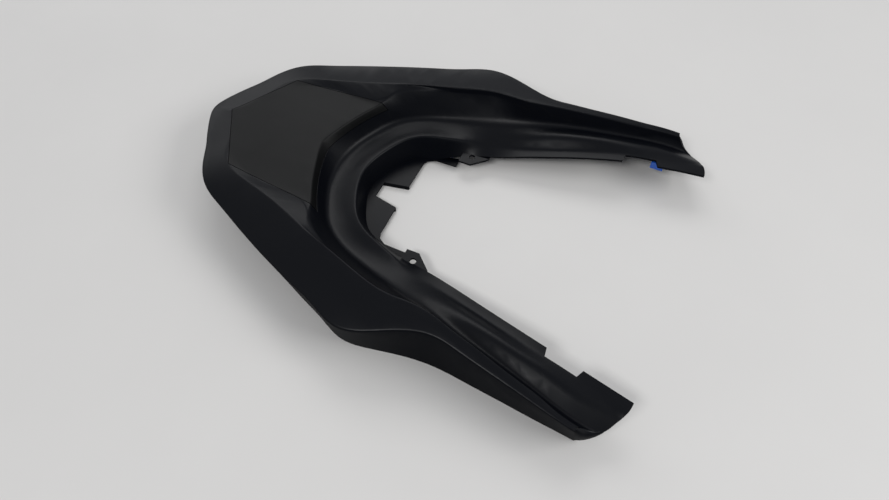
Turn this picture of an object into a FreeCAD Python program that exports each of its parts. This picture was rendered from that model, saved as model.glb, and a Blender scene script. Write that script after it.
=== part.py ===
import FreeCAD, Part
import os
import Sketcher

# Motorcycle tail junction cover: a U-shaped moulding that closes the tail behind the seat.
# Millimetres, +X forward to the leg tips, +Y to the left, +Z up, z = 0 on the ground.

Vector = FreeCAD.Vector
ORIGIN = Vector(0, 0, 0)
UP = Vector(0, 0, 1)
ACROSS = Vector(0, 1, 0)
FORWARD = Vector(1, 0, 0)

# Stations run along the cover from its mirror plane to just past a leg tip.
STATIONS = {
    "centre": 0.0, "stern": 0.2, "tail": 0.5, "corner": 1.0, "side": 1.25, "flank": 1.5, "turn": 2.0,
    "hip": 2.5, "bulge": 3.0, "neck": 3.3, "waist": 3.6, "root": 4.0, "shin": 4.5, "tip": 5.0, "end": 5.4,
}

# Form lines of the left half, each through the few points that shape it, at the design size.
# None is a coordinate that the frame fixes: the ground, the mirror plane or the loft's end.
LINES = {
    "sole": {
        "centre": (-237.2, None, None), "stern": (-232.6, 14.2, None), "tail": (-217, 37.6, None),
        "corner": (-188.5, 79.6, None), "flank": (-137.6, 107, None), "turn": (-83, 134.8, None),
        "hip": (-30.4, 157.6, None), "bulge": (6, 167.2, None), "neck": (40.4, 161.1, None),
        "waist": (72.7, 157.1, None), "root": (109.1, 159.1, None), "shin": (159.6, 164.2, None),
        "tip": (212, 169.2, None), "end": (None, 171.7, None),
    },
    "shoulder": {
        "centre": (-247.4, None, 45.6), "stern": (-242.3, 16.5, 46), "tail": (-225.8, 45.2, 46.6),
        "corner": (-195, 92, 46.7), "side": (-170.5, 106.4, 45.4), "flank": (-141, 120.3, 44.3),
        "turn": (-84, 145, 43.3), "hip": (-30, 165.5, 43.6), "bulge": (11.5, 175.4, 45.7),
        "neck": (45, 163, 50.6), "waist": (74, 153.8, 51.6), "root": (110, 158.1, 48.5),
        "shin": (160, 167.4, 43.2), "tip": (212, 176.3, 36.5), "end": (None, 179, 28),
    },
    "crest": {
        "centre": (-223, None, 50.8), "tail": (-203, 32.7, 51.2), "corner": (-183, 65.5, 52.3),
        "flank": (-130, 84, 55.2), "turn": (-75, 103.5, 56), "hip": (-30, 118.3, 56.3),
        "bulge": (14, 132, 56.2), "neck": (36, 134, 56.1), "waist": (60, 134.6, 55.8),
        "root": (104, 145, 51.6), "shin": (160, 158.3, 44), "tip": (212, 170.5, 36),
        "end": (None, 173.4, 29),
    },
    "seam": {
        "centre": (-165, None, 51), "tail": (-168, 36, 51), "corner": (-171, 62, 51.2),
        "side": (-138, 70.3, 51), "flank": (-100, 73, 51),
    },
    "recess": {
        "centre": (-114.5, None, 49.5), "tail": (-106.5, 27, 49.6), "corner": (-97.5, 49, 49.6),
        "flank": (-85, 73.5, 50), "turn": (-68, 98, 52.2),
    },
    "foot": {
        "centre": (-96, None, 26), "tail": (-92.5, 29, 25.8), "corner": (-82, 54, 26),
        "flank": (-66, 77, 27), "turn": (-39, 94, 27), "hip": (-8, 105, 27.6),
        "bulge": (25, 115.2, 29.3), "waist": (64, 126.5, 33), "root": (104, 137.5, 33.4),
        "shin": (160, 151.5, 31), "tip": (212, 163.5, 24.5), "end": (None, 163, 14),
    },
    "hump": {
        "centre": (-82, None, 26.5), "tail": (-78, 26.5, 26.5), "corner": (-66, 52, 26.6),
        "flank": (-49.5, 72, 27.2), "turn": (-25, 85, 26.5), "hip": (0, 93, 26),
        "bulge": (27, 101.5, 25.5), "waist": (64, 109, 30.5), "root": (104, 120, 38),
        "shin": (160, 135, 39), "tip": (212, 146.5, 34), "end": (None, 153, 24.5),
    },
    "bead": {
        "centre": (-68, None, 30), "tail": (-63, 25, 29.6), "corner": (-49.5, 51.5, 30),
        "flank": (-31.5, 67, 29.6), "turn": (-12, 74.8, 28), "hip": (8, 81.7, 25.2),
        "bulge": (29, 89, 21.5), "waist": (66, 97, 23.2), "root": (104, 107.3, 27.8),
        "shin": (160, 122.2, 34), "tip": (212, 133.3, 33.3), "end": (None, 149, 30.5),
    },
    "rim": {
        "centre": (-62.5, None, 3.7), "tail": (-56, 23, 3.7), "corner": (-43, 46, 3.7),
        "flank": (-28, 56.5, 3.9), "turn": (-10.5, 64, 6.4), "hip": (10, 71.5, 12),
        "bulge": (31, 77, 16.2), "neck": (48, 81, 18.8), "waist": (68, 87, 22.6), "root": (104, 97.8, 27.8),
        "shin": (160, 113.3, 33.8), "tip": (212, 124.6, 33.6), "end": (None, 133.2, 31.4),
    },
}
# Lines that run straight across the mirror plane, so that the halves meet smoothly there.
SMOOTH_LINES = ("sole", "shoulder", "seam", "recess", "foot", "hump", "bead", "rim")

# The design size, at which the points in this file are given.
DESIGN = {"length": 497.3, "width": 351.7, "height": 56.0}
# The middle of the cover lies this far along them.
MIDDLE = 1.35
LOFT_END = 256.0

SIZES = {
    # The whole cover, whose form lines scale with these three
    **DESIGN,
    # Wall and the rounding of its edges
    "wall": 2.5,
    "crest_width": 2.2,
    "crest_drop": 5.0,
    "shoulder_round": 2.4,
    "crest_round": 1.5,
    "seam_round": 1.0,
    "recess_round": 1.6,
    "foot_round": 7.0,
    "hump_round": 6.0,
    "bead_round": 2.5,
    # Screw tabs beside the seat
    "tab_thick": 2.5,
    "tab_reach": 9.5,
    "tab_length": 13.0,
    "tab_root": 12.0,
    "screw_radius": 3.25,
    "screw_back": 11.1,
    "screw_inset": 10.3,
    # Plates at the foot of the inner wall, each with a rib under its edge
    "plate_top": 5.5,
    "plate_thick": 1.8,
    "rib_thick": 1.8,
    # Panel on the plateau, and the ledge that it rests on
    "panel_lip": 9.5,
    "panel_gap": 0.6,
    "ledge_inner": 6.0,
    "ledge_outer": 4.0,
    "ledge_drop": 1.4,
    "ledge_clearance": 0.1,
    # Clips on the legs, each on a tongue of the cover
    "tongue_length": 7.0,
    "tongue_thick": 2.5,
    "tongue_drop": 8.5,
    "clip_length": 13.0,
    "clip_wall": 2.0,
    "clip_depth": 6.5,
    "clip_clearance": 0.15,
}
ROUNDED_LINES = ("shoulder", "crest", "seam", "recess", "foot", "hump", "bead")
# Sections are this far apart in station, and one stands close beside the mirror plane.
SECTION_STEP = 0.25
FIRST_STEP = 0.08
# Inside a tight bend a run of the section keeps at least this share of its outer length.
SHORTEST_RUN = 0.2

# Plan outlines at the design size, each with the few points that shape it.
LEG_END = (
    (213, 187), (213.6, 176), (214.8, 170.5), (219.5, 167.2), (227.5, 164.6), (235.5, 160.2), (242, 151.5),
    (246.7, 144), (250, 133),
)
LEG_END_BACK = ((250, 90), (266, 90), (266, 187))
PLATE = (
    (-65, 0), (-53, 0), (-53, 9.8), (-26.9, 14.9), (-26.4, 49.6), (-24.4, 55.6), (-17, 60.4), (6.5, 61),
    (6.5, 72.5), (-11, 67), (-29.5, 59.5), (-45, 48.5), (-58.5, 24.5),
)
PLATE_EDGE = ((-58, 8.8), (-26.9, 14.9))
TAB_BACK = (9.5, 71.5, 12.7)
TAB_TOE = (38, 76.5)
NOTCH = ((166.5, 100), (169.5, 123.9), (199.8, 130.2), (214.7, 100))
PANEL = ((-223.6, 0), (-183.3, 65.4), (-60, 76.4))
RIGHT_PANEL = ((-60, -76.4), (-183.3, -65.4))
LEDGE = ((-223.6, 0), (-183.3, 65.4), (-95, 73.3))
TONGUE = (202.5, 132.5, 32.5)
PLATEAU = 51
CUT_TOP = 80

document = FreeCAD.newDocument("tail_junction_cover")
sheet = document.addObject("Spreadsheet::Sheet", "sizes")


class Amount:
    """A number and the expression on the sheet that it comes from."""

    def __init__(self, number, expression):
        self.number = number
        self.expression = expression

    def __add__(self, other):
        return Amount(self.number + other.number, f"{self.expression} + {other.expression}")

    def __sub__(self, other):
        return Amount(self.number - other.number, f"{self.expression} - ({other.expression})")

    def __mul__(self, factor):
        factor = round(factor, 6)
        return Amount(self.number * factor, f"({self.expression}) * ({factor})")


ZERO = Amount(0.0, "0")


def fill_sheet():
    """Writes each size into a named cell."""
    for row, (name, number) in enumerate(SIZES.items(), 1):
        sheet.set(f"A{row}", name)
        sheet.set(f"B{row}", str(number))
        sheet.setAlias(f"B{row}", name)
    document.recompute()


def size(name):
    """A size from the sheet."""
    return float(sheet.get(name))


def named(name):
    """A size from the sheet, with its expression."""
    return Amount(size(name), f"sizes.{name}")


def along(x):
    """A design coordinate along the cover, scaled with its length."""
    return named("length") * ((x - MIDDLE) / DESIGN["length"])


def across(y):
    """A design coordinate across the cover, scaled with its width."""
    return named("width") * (y / DESIGN["width"])


def upward(z):
    """A design height, scaled with the cover's height."""
    return named("height") * (z / DESIGN["height"])


def scaled(x, y, z=0.0):
    """A design point at the cover's size."""
    return Vector(along(x).number, across(y).number, upward(z).number)


def line_point(line, station):
    """A form line's point, with what the frame fixes filled in."""
    fixed = (LOFT_END, 0.0, 0.0)
    point = LINES[line][station]
    return scaled(*[constant if given is None else given for given, constant in zip(point, fixed)])


def curve_through(places):
    """A smooth curve through points, given as a dict of station number to place."""
    curve = Part.BSplineCurve()
    curve.interpolate(Points=list(places.values()), Parameters=list(places))
    return curve


def form_curves():
    """The form lines as curves whose parameter is the station."""
    curves = {}
    for line, points in LINES.items():
        places = {STATIONS[station]: line_point(line, station) for station in points}
        if line == "recess":
            for number in sorted(STATIONS.values()):
                if number > STATIONS["turn"]:
                    places[number] = beside_crest(curves["crest"], number)
        if line in SMOOTH_LINES:
            first, second = list(places)[:2]
            twin = places[second]
            places = {-second: Vector(twin.x, -twin.y, twin.z), **places}
        if line != "seam":
            curves[line] = curve_through(places)
        else:
            seam = places
    for number in sorted(STATIONS.values()):
        if number > STATIONS["flank"] + SECTION_STEP:
            seam[number] = (curves["crest"].value(number) + curves["recess"].value(number)) / 2
    curves["seam"] = curve_through(seam)
    return {line: curves[line] for line in LINES}


def beside_crest(crest, number):
    """The inner edge of the crest's flat top on the legs."""
    place = crest.value(number)
    inward = crest.tangent(number)[0].cross(UP).normalize()
    if number == STATIONS["end"]:
        inward = -ACROSS
    return place + inward * size("crest_width") - UP * size("crest_drop")


def section_places(curves, number):
    """The outer and inner corners of the wall's section at one station."""
    outer = [curve.value(number) for curve in curves.values()]
    if number == STATIONS["centre"]:
        runs = [ACROSS] * len(outer)
    elif number == STATIONS["end"]:
        runs = [FORWARD] * len(outer)
    else:
        runs = [curve.tangent(number)[0] for curve in curves.values()]
    wall = size("wall")
    normals = []
    for k in range(len(outer) - 1):
        run_across = outer[k + 1] - outer[k]
        normals.append((runs[k] + runs[k + 1]).cross(run_across).normalize())
    first, last = normals[0], normals[-1]
    rise = (outer[1] - outer[0]).normalize()
    inner = [outer[0] + first * wall - rise * (first.z * wall / rise.z)]
    for k in range(1, len(outer) - 1):
        before, after = normals[k - 1], normals[k]
        inner.append(outer[k] + (before + after) * (wall / (1 + before.dot(after))))
    inner.append(outer[-1] + last * wall)
    for k in range(len(outer) - 1):
        least = (outer[k + 1] - outer[k]) * SHORTEST_RUN
        if (inner[k + 1] - inner[k]).dot(least) < least.dot(least):
            middle = (inner[k] + inner[k + 1]) / 2
            inner[k] = middle - least / 2
            inner[k + 1] = middle + least / 2
    return outer, inner


def rounded_chain(places, rounds):
    """Edges along corners, with each inner corner rounded over a set length."""
    edges = []
    start = places[0]
    for k in range(1, len(places) - 1):
        back = places[k - 1] - places[k]
        ahead = places[k + 1] - places[k]
        trim = min(rounds[k - 1], 0.4 * back.Length, 0.4 * ahead.Length)
        entry = places[k] + back.normalize() * trim
        leave = places[k] + ahead.normalize() * trim
        bend = Part.BezierCurve()
        bend.setPoles([entry, places[k], leave])
        edges.append(Part.LineSegment(start, entry).toShape())
        edges.append(bend.toShape())
        start = leave
    edges.append(Part.LineSegment(start, places[-1]).toShape())
    return edges


def section_wire(curves, number):
    """The closed outline of the wall at one station."""
    outer, inner = section_places(curves, number)
    rounds = [size(f"{line}_round") for line in ROUNDED_LINES]
    edges = rounded_chain(outer, rounds)
    edges.append(Part.LineSegment(outer[-1], inner[-1]).toShape())
    edges += rounded_chain(inner[::-1], rounds[::-1])
    edges.append(Part.LineSegment(inner[0], outer[0]).toShape())
    return Part.Wire(edges)


def half_loft():
    """The left half of the wall, from the mirror plane to past the leg tip."""
    curves = form_curves()
    last = STATIONS["end"]
    numbers = [STATIONS["centre"], FIRST_STEP]
    while numbers[-1] + SECTION_STEP < last:
        numbers.append(SECTION_STEP * (len(numbers) - 1))
    numbers.append(last)
    return Part.makeLoft([section_wire(curves, number) for number in numbers], True, False)


def leg_end():
    """What lies past the curved end of a leg, to be cut away."""
    edge = Part.BSplineCurve()
    edge.interpolate([scaled(x, y) for x, y in LEG_END])
    corners = [edge.EndPoint, *[scaled(x, y) for x, y in LEG_END_BACK], edge.StartPoint]
    edges = [edge.toShape()]
    for here, following in zip(corners, corners[1:]):
        edges.append(Part.LineSegment(here, following).toShape())
    return Part.Face(Part.Wire(edges)).extrude(scaled(0, 0, CUT_TOP))


def plan(points):
    """Design points of a plan outline, as amounts."""
    return [(along(x), across(y)) for x, y in points]


def grown(points, amount, factor=1):
    """An outline over both halves from points of the left one, moved out by a multiple of an amount."""
    twins = [(x, -y) for x, y in reversed(points) if y]
    ring = [Vector(x, y, 0) for x, y in (*points, *twins)]
    corners = []
    for k, here in enumerate(ring):
        before = UP.cross(here - ring[k - 1]).normalize()
        after = UP.cross(ring[(k + 1) % len(ring)] - here).normalize()
        mitre = (before + after) * (factor / (1 + before.dot(after)))
        corners.append((along(here.x) + amount * mitre.x, across(here.y) + amount * mitre.y))
    return corners


def add_feature(name, shape):
    """A shape that no other feature makes, as an object of the document."""
    feature = document.addObject("Part::Feature", name)
    feature.Shape = shape
    return feature


def draw(outline, corners):
    """A closed outline in a sketch, with each corner held by the sheet."""
    places = [Vector(x.number, y.number, 0) for x, y in corners]
    count = len(corners)
    for k in range(count):
        outline.addGeometry(Part.LineSegment(places[k], places[(k + 1) % count]))
    for k in range(count):
        outline.addConstraint(Sketcher.Constraint("Coincident", k, 2, (k + 1) % count, 1))
    for k, corner in enumerate(corners):
        for kind, amount in zip(("DistanceX", "DistanceY"), corner):
            number = outline.addConstraint(Sketcher.Constraint(kind, -1, 1, k, 1, amount.number))
            outline.setExpression(f"Constraints[{number}]", amount.expression)


def add_prism(name, corners, bottom, height):
    """An upright prism on a plan outline."""
    outline = document.addObject("Sketcher::SketchObject", name + "_outline")
    draw(outline, corners)
    outline.setExpression("Placement.Base.z", bottom.expression)
    prism = document.addObject("Part::Extrusion", name)
    prism.Base = outline
    prism.DirMode = "Custom"
    prism.Dir = UP
    prism.Solid = True
    prism.setExpression("LengthFwd", height.expression)
    return prism


def set_place(feature, x, y, z):
    """Ties a feature's place to the sheet."""
    for axis, amount in zip("xyz", (x, y, z)):
        feature.setExpression(f"Placement.Base.{axis}", amount.expression)


def add_boolean(kind, name, base, tool):
    """A cut, fuse or common of two objects."""
    result = document.addObject(kind, name)
    result.Base = base
    result.Tool = tool
    return result


def add_group(name, members):
    """Several objects fused into one."""
    result = document.addObject("Part::MultiFuse", name)
    result.Shapes = members
    return result


def mirror_image(name, source):
    """The other half of an object, across the middle of the cover."""
    twin = document.addObject("Part::Mirroring", name)
    twin.Source = source
    twin.Base = ORIGIN
    twin.Normal = ACROSS
    return twin


def add_tab():
    """The screw tab and its hole, at the rim beside the seat."""
    back, rim, low = along(TAB_BACK[0]), across(TAB_BACK[1]), upward(TAB_BACK[2])
    inner = rim - named("tab_reach")
    outer = rim + named("tab_root")
    front = back + named("tab_length")
    toe = along(TAB_TOE[0])
    neck = ((front + toe) * 0.5, (inner + across(TAB_TOE[1])) * 0.5)
    corners = [(back, inner), (front, inner), neck, (toe, across(TAB_TOE[1])), (toe, outer), (back, outer)]
    tab = add_prism("screw_tab", corners, low, named("tab_thick"))
    hole = document.addObject("Part::Cylinder", "screw_hole")
    hole.setExpression("Radius", "sizes.screw_radius")
    hole.setExpression("Height", "sizes.tab_thick * 3")
    set_place(hole, back + named("screw_back"), inner + named("screw_inset"), low - named("tab_thick"))
    return tab, hole


def add_plate_rib():
    """The rib that hangs from a plate's edge to the ground."""
    edge = plan(PLATE_EDGE)
    back = [(x, y + named("rib_thick")) for x, y in reversed(edge)]
    return add_prism("plate_rib", edge + back, ZERO, named("plate_top") - named("plate_thick") * 0.5)


def add_tongue():
    """The tongue under a leg's inner edge, which carries the clip."""
    x, y, z = along(TONGUE[0]), across(TONGUE[1]), upward(TONGUE[2])
    tongue = document.addObject("Part::Box", "clip_tongue")
    tongue.setExpression("Length", "sizes.tongue_length")
    tongue.setExpression("Width", "sizes.tongue_thick")
    tongue.setExpression("Height", "sizes.tongue_drop")
    half_length, half_thick = named("tongue_length") * 0.5, named("tongue_thick") * 0.5
    set_place(tongue, x - half_length, y - half_thick, z - named("tongue_drop"))
    return tongue


def add_clip():
    """The clip: a channel pushed up over the tongue until its floor meets the tongue's end."""
    clip = document.addObject("PartDesign::Body", "left_clip")
    profile = clip.newObject("Sketcher::SketchObject", "clip_profile")
    profile.AttachmentSupport = (clip.Origin.OriginFeatures[5], [""])
    profile.MapMode = "FlatFace"
    slot = named("tongue_thick") * 0.5 + named("clip_clearance")
    side = slot + named("clip_wall")
    top, bottom = named("clip_depth"), ZERO - named("clip_wall")
    left = [(slot, ZERO), (slot, top), (side, top), (side, bottom)]
    right = [(ZERO - y, z) for y, z in reversed(left)]
    draw(profile, right + left)
    length = clip.newObject("PartDesign::Pad", "clip_length")
    length.Profile = profile
    length.setExpression("Length", "sizes.clip_length")
    x = along(TONGUE[0]) - named("clip_length") * 0.5
    set_place(clip, x, across(TONGUE[1]), upward(TONGUE[2]) - named("tongue_drop"))
    return clip


def add_compound(name, members):
    """Several objects side by side, as one tool."""
    result = document.addObject("Part::Compound", name)
    result.Links = members
    return result


def add_ledge(skin):
    """The ledge that the panel rests on: a strip of the wall, lowered and kept along the seam."""
    layer = add_feature("ledge_layer", skin)
    layer.setExpression("Placement.Base.z", "-sizes.ledge_drop")
    top = upward(CUT_TOP)
    outer = add_prism("ledge_outside", grown(LEDGE, named("ledge_outer")), ZERO, top)
    inner = add_prism("ledge_inside", grown(PANEL, named("ledge_inner"), -1), ZERO, top)
    ring = add_boolean("Part::Cut", "ledge_ring", outer, inner)
    return add_boolean("Part::Common", "ledge", layer, ring)


def add_halves():
    """The left half of the cover with all its features, and the left half of the panel."""
    skin = half_loft()
    wall = add_feature("half_wall", skin)
    gap, top = named("panel_gap"), upward(CUT_TOP)
    lip = upward(PLATEAU) - named("panel_lip")
    seat = add_prism("panel_seat", plan(PANEL) + plan(RIGHT_PANEL), lip, top)
    inside = add_prism("panel_edge", grown(PANEL, gap, -1), lip + gap, top)
    ledge = add_ledge(skin)
    rebate = add_compound("panel_rebate", [ledge])
    rebate.setExpression("Placement.Base.z", "sizes.ledge_clearance")
    piece = add_boolean("Part::Common", "half_panel_piece", wall, inside)
    panel = add_boolean("Part::Cut", "half_panel", piece, rebate)
    notch = add_prism("flange_notch", plan(NOTCH), ZERO, top)
    cuts = add_compound("wall_cuts", [add_feature("past_leg_end", leg_end()), notch, seat])
    opened = add_boolean("Part::Cut", "opened_wall", wall, cuts)
    plate_low = named("plate_top") - named("plate_thick")
    plate = add_prism("inner_plate", plan(PLATE), plate_low, named("plate_thick"))
    tab, hole = add_tab()
    body = add_group("half_body", [opened, plate, add_plate_rib(), tab, add_tongue(), ledge])
    return add_boolean("Part::Cut", "half_cover", body, hole), panel


def add_whole(name, half):
    """A half and its mirror image, fused."""
    return add_boolean("Part::Fuse", name, half, mirror_image(half.Name + "_right", half))


def write_parts(parts):
    """Writes each part once every object of the document has come out sound."""
    document.recompute()
    for item in document.Objects:
        if "Invalid" in item.State or "Error" in item.State:
            raise RuntimeError(f"{item.Name} did not come out")
    for part in parts:
        if part.Shape.isNull() or not part.Shape.isValid():
            raise RuntimeError(f"{part.Label} is not a sound solid")
    os.makedirs("parts", exist_ok=True)
    for part in parts:
        part.Shape.exportStep(f"parts/{part.Label}.step")


fill_sheet()
half_cover, half_panel = add_halves()
left_clip = add_clip()
write_parts([
    add_whole("tail_shell", half_cover),
    add_whole("centre_panel", half_panel),
    left_clip,
    mirror_image("right_clip", left_clip),
])
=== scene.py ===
"""Looks of a motorcycle tail junction cover: satin black mouldings with blue clips, on a pale table."""

import logging
import math
from dataclasses import dataclass
from enum import Enum
from typing import Any, Union

import bpy
import numpy as np
from mathutils import Matrix, Vector


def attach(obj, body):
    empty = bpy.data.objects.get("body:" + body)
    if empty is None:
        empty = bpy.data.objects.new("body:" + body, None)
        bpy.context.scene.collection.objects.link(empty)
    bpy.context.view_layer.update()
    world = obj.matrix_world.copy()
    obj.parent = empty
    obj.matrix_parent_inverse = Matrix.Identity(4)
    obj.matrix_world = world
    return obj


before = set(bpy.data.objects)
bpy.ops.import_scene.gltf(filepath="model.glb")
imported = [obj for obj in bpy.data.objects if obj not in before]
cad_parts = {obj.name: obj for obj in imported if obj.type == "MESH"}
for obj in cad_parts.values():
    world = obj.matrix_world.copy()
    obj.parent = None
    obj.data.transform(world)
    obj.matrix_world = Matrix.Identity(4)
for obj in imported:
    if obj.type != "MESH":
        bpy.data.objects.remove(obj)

Colour = tuple[float, float, float]
Point = tuple[float, float, float]
Stops = tuple[tuple[float, float], tuple[float, float]]
Owner = Union[bpy.types.Material, bpy.types.World]
BODY = "root"
OPAQUE = 1.0
log = logging.getLogger("tail_cover")


class Maths(Enum):
    """Operations of a Math node that the finishes use."""

    ADD = "ADD"
    SUBTRACT = "SUBTRACT"
    MULTIPLY = "MULTIPLY"


class MixSocket(Enum):
    """Sockets of a Mix node that mixes colours."""

    SHARE = 0
    ONE = 6
    TWO = 7
    RESULT = 2


class End(Enum):
    """The last node of a material and of a world."""

    MATERIAL = "ShaderNodeOutputMaterial"
    WORLD = "ShaderNodeOutputWorld"


class Side(Enum):
    """A side of the cover, with the sign of its places across."""

    LEFT = 1.0
    RIGHT = -1.0


@dataclass(frozen=True)
class Pattern:
    """Soft noise: its features in a metre, its finer layers and the strength of those layers."""

    scale: float
    detail: float = 2.0
    roughness: float = 0.5


class Value:
    """A socket of a finish, on which Python's operators add Math nodes."""

    def __init__(self, graph: "Graph", socket: bpy.types.NodeSocket) -> None:
        """Keeps the socket and the graph that it belongs to."""
        self.graph = graph
        self.socket = socket

    def __add__(self, other: "Number") -> "Value":
        """The sum of this value and another."""
        return self.graph.maths(Maths.ADD, self, other)

    __radd__ = __add__

    def __sub__(self, other: "Number") -> "Value":
        """This value less another."""
        return self.graph.maths(Maths.SUBTRACT, self, other)

    def __rsub__(self, other: "Number") -> "Value":
        """A number less this value."""
        return self.graph.maths(Maths.SUBTRACT, other, self)

    def __mul__(self, other: "Number") -> "Value":
        """The product of this value and another."""
        return self.graph.maths(Maths.MULTIPLY, self, other)

    __rmul__ = __mul__


Number = Union[Value, float]


class Graph:
    """The nodes of one finish, or of the surroundings."""

    def __init__(self, owner: Owner) -> None:
        """Starts without nodes.

        Args:
            owner: The material or the world that the nodes belong to.
        """
        owner.use_nodes = True
        self.owner = owner
        self.tree = owner.node_tree
        self.tree.nodes.clear()

    def node(self, kind: str, settings: dict[str, Any], inputs: dict[Any, Any], output: Any = 0) -> Value:
        """Adds a node.

        Args:
            kind: The node's type.
            settings: Its settings, with "stops" for a ramp's positions and grey levels.
            inputs: Values or links of its sockets, by name or number.
            output: The output that is wanted, by name or number.

        Returns:
            The wanted output.
        """
        made = self.tree.nodes.new(kind)
        for key, setting in settings.items():
            if key == "stops":
                self._set_stops(made.color_ramp, setting)
            else:
                setattr(made, key, setting)
        for key, given in inputs.items():
            if isinstance(given, Value):
                self.tree.links.new(given.socket, made.inputs[key])
            else:
                made.inputs[key].default_value = given
        return Value(self, made.outputs[output])

    @staticmethod
    def _set_stops(ramp: bpy.types.ColorRamp, stops: Stops) -> None:
        """Sets a ramp's two stops.

        Args:
            ramp: The ramp.
            stops: A position and a grey level for each stop.
        """
        for element, (position, level) in zip(ramp.elements, stops):
            element.position = position
            element.color = (level, level, level, OPAQUE)

    def maths(self, operation: Maths, left: Number, right: Number) -> Value:
        """A Math node on two values.

        Args:
            operation: What it does.
            left: The first value.
            right: The second value.

        Returns:
            The result.
        """
        return self.node("ShaderNodeMath", {"operation": operation.value}, {0: left, 1: right})

    def mix(self, share: Number, one: Colour, two: Colour) -> Value:
        """A mix of two colours.

        Args:
            share: The share of the second colour.
            one: The first colour.
            two: The second colour.

        Returns:
            The mixed colour.
        """
        inputs = {
            MixSocket.SHARE.value: share,
            MixSocket.ONE.value: (*one, OPAQUE),
            MixSocket.TWO.value: (*two, OPAQUE),
        }
        return self.node("ShaderNodeMix", {"data_type": "RGBA"}, inputs, MixSocket.RESULT.value)

    def place(self) -> Value:
        """Places on the object, in metres."""
        return self.node("ShaderNodeTexCoord", {}, {}, "Object")

    def facing_up(self) -> Value:
        """How far the surface faces up: 1 on a level one and 0 on an upright one."""
        normal = self.node("ShaderNodeTexCoord", {}, {}, "Normal")
        return self.node("ShaderNodeSeparateXYZ", {}, {0: normal}, "Z")

    def stretched(self, scale: Point, turn: float) -> Value:
        """Places on the object, stretched and turned about its upright axis.

        Args:
            scale: The stretch along each axis.
            turn: The turn, in degrees.

        Returns:
            The places.
        """
        inputs = {"Vector": self.place(), "Scale": scale, "Rotation": (0.0, 0.0, math.radians(turn))}
        return self.node("ShaderNodeMapping", {}, inputs)

    def noise(self, where: Value, pattern: Pattern) -> Value:
        """Soft noise from 0 to 1.

        Args:
            where: Places on the object.
            pattern: The noise's scale and layers.

        Returns:
            The noise.
        """
        inputs = {
            "Vector": where,
            "Scale": pattern.scale,
            "Detail": pattern.detail,
            "Roughness": pattern.roughness,
        }
        return self.node("ShaderNodeTexNoise", {}, inputs)

    def ramp(self, value: Value, stops: Stops) -> Value:
        """A value through a ramp of grey levels.

        Args:
            value: The value.
            stops: A position and a level for each stop.

        Returns:
            The level.
        """
        return self.node("ShaderNodeValToRGB", {"stops": stops}, {"Fac": value})

    def bump(self, height: Value, depth: float, strength: float) -> Value:
        """A normal from a height.

        Args:
            height: The height, from 0 to 1.
            depth: What a height of 1 stands for, in metres.
            strength: How much of it shows.

        Returns:
            The normal.
        """
        inputs = {"Strength": strength, "Distance": depth, "Height": height}
        return self.node("ShaderNodeBump", {}, inputs, "Normal")

    def shader(self, inputs: dict[str, Any]) -> Value:
        """A plastic or painted surface.

        Args:
            inputs: Values or links of the shader's sockets.

        Returns:
            The shader.
        """
        return self.node("ShaderNodeBsdfPrincipled", {}, inputs)

    def blend(self, share: Value, one: Value, two: Value) -> Value:
        """A mix of two shaders.

        Args:
            share: The share of the second shader.
            one: The first shader.
            two: The second shader.

        Returns:
            The mixed shader.
        """
        return self.node("ShaderNodeMixShader", {}, {0: share, 1: one, 2: two})

    def finish(self, shader: Value, end: End = End.MATERIAL) -> Owner:
        """Ends the nodes in the owner's surface.

        Args:
            shader: The shader that the surface shows.
            end: The kind of the owner's last node.

        Returns:
            The owner.
        """
        last = self.tree.nodes.new(end.value)
        self.tree.links.new(shader.socket, last.inputs["Surface"])
        return self.owner


@dataclass(frozen=True)
class SatinMoulding:
    """Black plastic from an eroded mould: fine grain, cloudy sheen, rub marks, and painted shade that dulls
    upright walls.
    """

    name: str
    colour: Colour = (0.0012, 0.0017, 0.0033)
    rubbed: Colour = (0.0048, 0.0049, 0.0054)
    gloss: float = 0.2
    roughness: float = 0.33
    # Painted shade: upright walls blend toward a duller, darker shader, by how little they face up.
    wall_shade_gloss: float = 0.04
    wall_shade_roughness: float = 0.75
    wall_shade_share: float = 0.85
    wall_shade_below: float = 0.45
    satin_above: float = 0.82
    cloud: Pattern = Pattern(14.0, 4.0, 0.6)
    cloud_roughness: float = 0.08
    grain: Pattern = Pattern(1500.0, 2.0, 0.6)
    grain_roughness: float = 0.04
    grain_depth: float = 0.00003
    grain_strength: float = 0.5
    rub: Pattern = Pattern(1.0, 3.0, 0.55)
    rub_scale: Point = (14.0, 420.0, 90.0)
    rub_turn: float = 24.0
    rub_stops: Stops = ((0.6, 0.0), (0.78, 1.0))
    rub_share: float = 0.6
    rub_polish: float = 0.05

    def make(self) -> bpy.types.Material:
        """The finish as a material."""
        graph = Graph(bpy.data.materials.new(self.name))
        where = graph.place()
        cloud = graph.noise(where, self.cloud)
        grain = graph.noise(where, self.grain)
        rubs = graph.noise(graph.stretched(self.rub_scale, self.rub_turn), self.rub)
        rubbing = graph.ramp(rubs, self.rub_stops) * cloud * self.rub_share
        uneven = cloud * self.cloud_roughness + grain * self.grain_roughness - rubbing * self.rub_polish
        rough = uneven + (self.roughness - self.cloud_roughness / 2)
        look = {
            "Base Color": graph.mix(rubbing, self.colour, self.rubbed),
            "Normal": graph.bump(grain, self.grain_depth, self.grain_strength),
        }
        satin = graph.shader({**look, "Roughness": rough, "Specular IOR Level": self.gloss})
        # Painted shade: a duller shader darkens the upright walls, standing in for how little light they
        # reflect.
        flat = {"Roughness": self.wall_shade_roughness, "Specular IOR Level": self.wall_shade_gloss}
        wall_shade_matt = graph.shader({**look, **flat})
        stops = ((self.wall_shade_below, self.wall_shade_share), (self.satin_above, 0.0))
        upright = graph.ramp(graph.facing_up(), stops)
        return graph.finish(graph.blend(upright, satin, wall_shade_matt))


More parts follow.
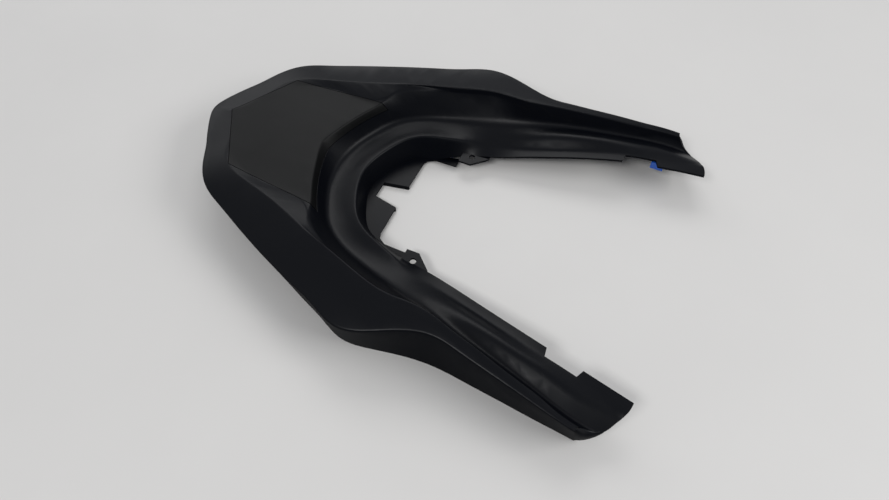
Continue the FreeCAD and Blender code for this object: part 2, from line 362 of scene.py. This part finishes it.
@dataclass(frozen=True)
class BluePlastic:
    """Bright blue plastic of the clips, a little scuffed."""

    name: str
    colour: Colour = (0.003, 0.075, 0.42)
    scuffed: Colour = (0.02, 0.16, 0.6)
    roughness: float = 0.3
    scuff: Pattern = Pattern(900.0, 4.0, 0.65)
    scuff_stops: Stops = ((0.52, 0.0), (0.7, 1.0))
    scuff_share: float = 0.6
    scuff_roughness: float = 0.2
    grain: Pattern = Pattern(2600.0)
    grain_depth: float = 0.00001
    grain_strength: float = 0.4

    def make(self) -> bpy.types.Material:
        """The finish as a material."""
        graph = Graph(bpy.data.materials.new(self.name))
        where = graph.place()
        scuffs = graph.ramp(graph.noise(where, self.scuff), self.scuff_stops)
        rough = scuffs * self.scuff_roughness + self.roughness
        colour = graph.mix(scuffs * self.scuff_share, self.colour, self.scuffed)
        normal = graph.bump(graph.noise(where, self.grain), self.grain_depth, self.grain_strength)
        return graph.finish(graph.shader({"Base Color": colour, "Roughness": rough, "Normal": normal}))


@dataclass(frozen=True)
class PaleTable:
    """An off-white table top, with faint clouds."""

    name: str
    colour: Colour = (0.7, 0.69, 0.672)
    worn: Colour = (0.655, 0.645, 0.63)
    roughness: float = 0.5
    cloud: Pattern = Pattern(5.0, 4.0, 0.6)
    cloud_roughness: float = 0.1

    def make(self) -> bpy.types.Material:
        """The finish as a material."""
        graph = Graph(bpy.data.materials.new(self.name))
        clouds = graph.noise(graph.place(), self.cloud)
        colour = graph.mix(clouds, self.colour, self.worn)
        rough = clouds * self.cloud_roughness + self.roughness
        return graph.finish(graph.shader({"Base Color": colour, "Roughness": rough}))


@dataclass
class Moulding:
    """Pieces of the frame that share one finish."""

    nodes: tuple[str, ...]
    material: bpy.types.Material
    soft_angle: float = 20.0
    place_digits: int = 6

    def dress(self) -> list[bpy.types.Object]:
        """Softens the seams of the pieces and gives them their finish.

        Returns:
            The pieces.
        """
        pieces = [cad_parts[name] for name in self.nodes]
        for piece in pieces:
            self._soften(piece.data)
            piece.data.materials.clear()
            piece.data.materials.append(self.material)
        return pieces

    def _soften(self, mesh: bpy.types.Mesh) -> None:
        """Shades a mesh smoothly across the seams where its surfaces run into each other.

        Args:
            mesh: The mesh, whose points stay as they are.
        """
        places = np.empty(len(mesh.vertices) * 3, np.float32)
        mesh.vertices.foreach_get("co", places)
        normals = np.empty(len(mesh.loops) * 3, np.float32)
        mesh.corner_normals.foreach_get("vector", normals)
        owners = np.empty(len(mesh.loops), np.int32)
        mesh.loops.foreach_get("vertex_index", owners)
        normals = normals.reshape(-1, 3)
        rounded = places.reshape(-1, 3).round(self.place_digits)
        spots = np.unique(rounded, axis=0, return_inverse=True)[1].reshape(-1)[owners]
        order = np.argsort(spots, kind="stable")
        limit = math.cos(math.radians(self.soft_angle))
        soft = np.empty_like(normals)
        for corners in np.split(order, np.flatnonzero(np.diff(spots[order])) + 1):
            meeting = normals[corners]
            soft[corners] = (meeting @ meeting.T > limit).astype(np.float32) @ meeting
        soft /= np.maximum(np.linalg.norm(soft, axis=1, keepdims=True), np.finfo(np.float32).tiny)
        mesh.normals_split_custom_set(soft.tolist())


@dataclass
class LegNose:
    """The rounded nose that carries a leg's side wall round its end and runs out along the end's edge."""

    side: Side
    material: bpy.types.Material
    wall: float = 0.002
    wall_offset: float = 1.0
    smoothing: int = 2
    rows: int = 7
    edge: tuple[Point, ...] = (
        (0.2085, 0.1736, 0.0345), (0.2117, 0.1718, 0.0351), (0.2133, 0.1690, 0.0318),
        (0.2177, 0.1664, 0.0262), (0.2262, 0.1637, 0.0215), (0.2334, 0.1583, 0.0212),
    )
    foot: tuple[Point, ...] = (
        (0.2095, 0.1666, 0.0008), (0.2152, 0.1673, 0.0008), (0.2188, 0.1662, 0.0022),
        (0.2224, 0.1650, 0.0054), (0.2274, 0.1632, 0.0118), (0.2336, 0.1585, 0.0204),
    )
    swell: tuple[float, ...] = (0.0, 0.0028, 0.0042, 0.0034, 0.0012, 0.0)

    def build(self) -> bpy.types.Object:
        """Makes the nose and fixes it to the cover.

        Returns:
            The nose.
        """
        name = f"{self.side.name.lower()}_leg_nose"
        mesh = bpy.data.meshes.new(name)
        mesh.from_pydata(self._places(), [], self._faces())
        mesh.materials.append(self.material)
        mesh.shade_smooth()
        nose = bpy.data.objects.new(name, mesh)
        bpy.context.scene.collection.objects.link(nose)
        thick = nose.modifiers.new("wall", "SOLIDIFY")
        thick.thickness = self.wall
        thick.offset = self.wall_offset
        smooth = nose.modifiers.new("smooth", "SUBSURF")
        smooth.levels = smooth.render_levels = self.smoothing
        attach(nose, BODY)
        return nose

    def _places(self) -> list[Point]:
        """The points of the nose, in columns from the edge down to the foot."""
        places = []
        for column in range(len(self.edge)):
            places += [self._place(column, row / (self.rows - 1)) for row in range(self.rows)]
        return places

    def _faces(self) -> list[tuple[int, ...]]:
        """The faces between the columns, turned the same way on both sides of the cover."""
        faces = []
        for column in range(len(self.edge) - 1):
            for row in range(self.rows - 1):
                corner = column * self.rows + row
                face = (corner, corner + self.rows, corner + self.rows + 1, corner + 1)
                faces.append(face if self.side is Side.LEFT else face[::-1])
        return faces

    def _place(self, column: int, down: float) -> Point:
        """A point of the nose.

        Args:
            column: The point's place along the edge.
            down: Its share of the way from the edge to the foot.

        Returns:
            The point, on the leg's own side.
        """
        edge, foot = Vector(self.edge[column]), Vector(self.foot[column])
        before, after = self.edge[max(column - 1, 0)], self.edge[min(column + 1, len(self.edge) - 1)]
        outward = Vector((before[1] - after[1], after[0] - before[0], 0.0)).normalized()
        bulge = self.swell[column] * math.sin(math.pi * math.sqrt(down))
        place = edge.lerp(foot, down) + outward * bulge
        return (place.x, place.y * self.side.value, place.z)


@dataclass
class Lamp:
    """A soft lamp that faces the cover."""

    name: str
    place: Point
    target: Point
    size: tuple[float, float]
    power: float

    def build(self) -> None:
        """Puts the lamp in its place."""
        light = bpy.data.lights.new(self.name, "AREA")
        light.shape = "RECTANGLE"
        light.size, light.size_y = self.size
        light.energy = self.power
        lamp = bpy.data.objects.new(self.name, light)
        bpy.context.scene.collection.objects.link(lamp)
        lamp.location = self.place
        lamp.rotation_euler = (Vector(self.target) - Vector(self.place)).to_track_quat("-Z", "Y").to_euler()


@dataclass
class Studio:
    """The table, the light and the camera."""

    table_half: float = 2.0
    middle: Point = (0.0, 0.0, 0.03)
    eye: Point = (0.19265, -0.38266, 0.559)
    right: Point = (0.9112, 0.4119, 0.0)
    ahead: Point = (-0.2303, 0.5096, -0.829)
    focus: float = 680.0
    picture_width: float = 889.0
    sensor: float = 36.0
    air: Colour = (0.93, 0.95, 1.0)
    air_strength: float = 0.345
    backdrop: Colour = (0.72, 0.72, 0.71)

    def build(self) -> None:
        """Makes the table, the lamps, the air and the camera."""
        self._table()
        self._air()
        for lamp in self._lamps():
            lamp.build()
        self._camera()

    def _table(self) -> None:
        """A flat table top under the cover."""
        reach = self.table_half
        corners = [(-reach, -reach, 0.0), (reach, -reach, 0.0), (reach, reach, 0.0), (-reach, reach, 0.0)]
        mesh = bpy.data.meshes.new("table_top")
        mesh.from_pydata(corners, [], [(0, 1, 2, 3)])
        mesh.materials.append(PaleTable("table_white").make())
        table = bpy.data.objects.new("table_top", mesh)
        bpy.context.scene.collection.objects.link(table)

    def _lamps(self) -> list[Lamp]:
        """The lamps: windows on the far side and at both ends, and a lamp on the near side."""
        return [
            Lamp("far_window", (-0.62, 1.55, 1.73), self.middle, (1.6, 1.0), 12.0),
            Lamp("rear_window", (-1.96, 1.13, 1.06), self.middle, (1.4, 0.8), 5.0),
            Lamp("right_window", (1.94, 0.34, 1.38), self.middle, (1.4, 1.0), 24.0),
            Lamp("near_lamp", (-0.32, -1.51, 1.84), self.middle, (0.9, 0.5), 18.0),
        ]

    def _air(self) -> None:
        """The pale surroundings, which the camera sees as a plain backdrop."""
        graph = Graph(bpy.data.worlds.new("surroundings"))
        glow = {"Color": (*self.air, OPAQUE), "Strength": self.air_strength}
        light = graph.node("ShaderNodeBackground", {}, glow)
        backdrop = graph.node("ShaderNodeBackground", {}, {"Color": (*self.backdrop, OPAQUE)})
        seen = graph.node("ShaderNodeLightPath", {}, {}, "Is Camera Ray")
        bpy.context.scene.world = graph.finish(graph.blend(seen, light, backdrop), End.WORLD)

    def _camera(self) -> None:
        """The camera at the photograph's place."""
        data = bpy.data.cameras.new("camera")
        data.sensor_width = self.sensor
        data.lens = self.focus / self.picture_width * self.sensor
        camera = bpy.data.objects.new("camera", data)
        bpy.context.scene.collection.objects.link(camera)
        right, ahead = Vector(self.right).normalized(), Vector(self.ahead).normalized()
        up = right.cross(ahead)
        turn = Matrix((right, up, -ahead)).transposed().to_4x4()
        camera.matrix_world = Matrix.Translation(Vector(self.eye)) @ turn
        bpy.context.scene.camera = camera


def main() -> None:
    """Dresses the cover and sets its studio."""
    logging.basicConfig(level=logging.INFO, format="%(name)s %(message)s")
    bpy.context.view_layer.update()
    bpy.context.scene.view_settings.view_transform = "Standard"
    black = SatinMoulding("shell_black").make()
    panel_black = SatinMoulding("panel_black", colour=(0.0026, 0.0028, 0.003), roughness=0.44).make()
    blue = BluePlastic("clip_blue").make()
    pieces = [
        *Moulding(("tail_shell",), black).dress(),
        *Moulding(("centre_panel",), panel_black).dress(),
        *Moulding(("left_clip", "right_clip"), blue).dress(),
        *[LegNose(side, black).build() for side in Side],
    ]
    for piece in pieces:
        log.info("%s: %s, %d faces", piece.name, piece.data.materials[0].name, len(piece.data.polygons))
    Studio().build()


if __name__ == "__main__":
    main()
